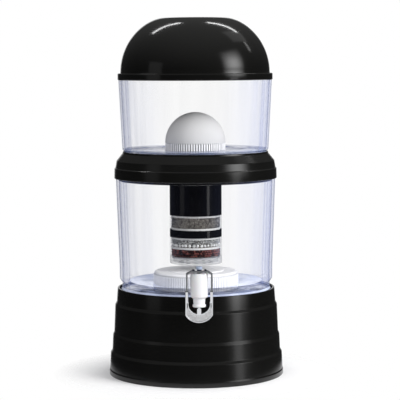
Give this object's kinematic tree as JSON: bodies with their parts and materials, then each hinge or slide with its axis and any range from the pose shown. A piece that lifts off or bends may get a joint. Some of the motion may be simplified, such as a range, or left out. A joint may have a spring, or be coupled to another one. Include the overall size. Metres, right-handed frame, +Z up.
{
  "type": "gravity water filter",
  "caption": "Gravity water filter: domed lid, clear upper tank with ceramic dome filter, layered cartridge in a clear lower tank, push-lever tap and stepped stand.",
  "frame": {"origin": "on the vertical axis of the tanks, at the flat underside of the stand", "axes": "+Z up along the axis of the tanks, -Y towards the tap, +X to the right seen from the tap's side"},
  "size_m": [0.285, 0.3208, 0.58],
  "materials": {
    "lid_black": "gloss",
    "stand_black": "satin",
    "clear_plastic": "gloss",
    "white_plastic": "satin",
    "dome_ceramic": "matt",
    "cartridge_clear": "gloss",
    "grey_rubber": "matt",
    "felt": "matt",
    "carbon": "matt",
    "black_mineral": "matt",
    "mineral_sand": "matt",
    "white_beads": "satin",
    "red_balls": "satin",
    "case_stones": "matt",
    "chrome": "polished",
    "paddle_metal": "satin",
    "spring_steel": "satin"
  },
  "bodies": {
    "stand": {"base_stand": "stand_black"},
    "tank": {"lower_tank": "clear_plastic", "tap_body": "white_plastic", "tap_outer_washer": "grey_rubber", "tap_inner_washer": "grey_rubber", "tap_lock_nut": "white_plastic", "tap_bonnet": "white_plastic", "tap_pivot_pin": "spring_steel", "tap_spring": "spring_steel"},
    "lever": {"tap_lever": "chrome", "tap_paddle": "paddle_metal"},
    "valve": {"tap_valve_stem": "white_plastic", "tap_valve_seal": "grey_rubber"},
    "case": {"mineral_case_body": "white_plastic", "mineral_stones": "case_stones"},
    "case_lid": {"mineral_case_lid": "white_plastic"},
    "collar": {"collar": "stand_black"},
    "upper": {"upper_tank": "clear_plastic", "dome_washer": "grey_rubber"},
    "dome": {"dome_ceramic": "dome_ceramic", "dome_base": "white_plastic", "dome_gasket": "grey_rubber"},
    "nut": {"dome_nut": "white_plastic"},
    "cartridge": {"cartridge_housing": "cartridge_clear", "cartridge_bottom_cap": "cartridge_clear", "cartridge_grid": "white_plastic", "cartridge_top_cap": "white_plastic", "cartridge_gasket": "grey_rubber", "felt_pads": "felt", "carbon_bed": "carbon", "mineral_sand_bed": "mineral_sand", "black_mineral_bed": "black_mineral", "bead_bed": "white_beads", "red_ball_bed": "red_balls"},
    "lid": {"lid": "lid_black"}
  },
  "joints": [
    {"name": "tank_lift", "type": "slide", "parent": "stand", "child": "tank", "axis": [0, 0, 1], "range_m": [0, 0.06]},
    {"name": "collar_lift", "type": "slide", "parent": "tank", "child": "collar", "axis": [0, 0, 1], "range_m": [0, 0.16]},
    {"name": "upper_tank_lift", "type": "slide", "parent": "collar", "child": "upper", "axis": [0, 0, 1], "range_m": [0, 0.2]},
    {"name": "lid_lift", "type": "slide", "parent": "upper", "child": "lid", "axis": [0, 0, 1], "range_m": [0, 0.12]},
    {"name": "dome_turn", "type": "hinge", "parent": "upper", "child": "dome", "pos_m": [0, 0, 0.3774], "axis": [0, 0, 1], "continuous": true},
    {"name": "dome_nut_turn", "type": "hinge", "parent": "upper", "child": "nut", "pos_m": [0, 0, 0.355], "axis": [0, 0, 1], "continuous": true},
    {"name": "cartridge_turn", "type": "hinge", "parent": "upper", "child": "cartridge", "pos_m": [0, 0, 0.335], "axis": [0, 0, 1], "continuous": true},
    {"name": "mineral_case_lift", "type": "slide", "parent": "tank", "child": "case", "axis": [0, 0, 1], "range_m": [0, 0.009]},
    {"name": "mineral_case_lid_turn", "type": "hinge", "parent": "case", "child": "case_lid", "pos_m": [0, 0, 0.158], "axis": [0, 0, 1], "continuous": true},
    {"name": "tap_lever_push", "type": "hinge", "parent": "tank", "child": "lever", "pos_m": [0, -0.171, 0.188], "axis": [1, 0, 0], "range_deg": [0, 10], "stiffness_Nm_per_rad": 0.4, "springref_deg": -8.59},
    {"name": "tap_valve_lift", "type": "slide", "parent": "tank", "child": "valve", "axis": [0, 0, 1], "range_m": [0, 0.002], "deforming": ["tap_spring"]}
  ],
  "couplings": [
    {"joint": "tap_valve_lift", "follows": "tap_lever_push", "m_per_rad": 0.0112}
  ]
}
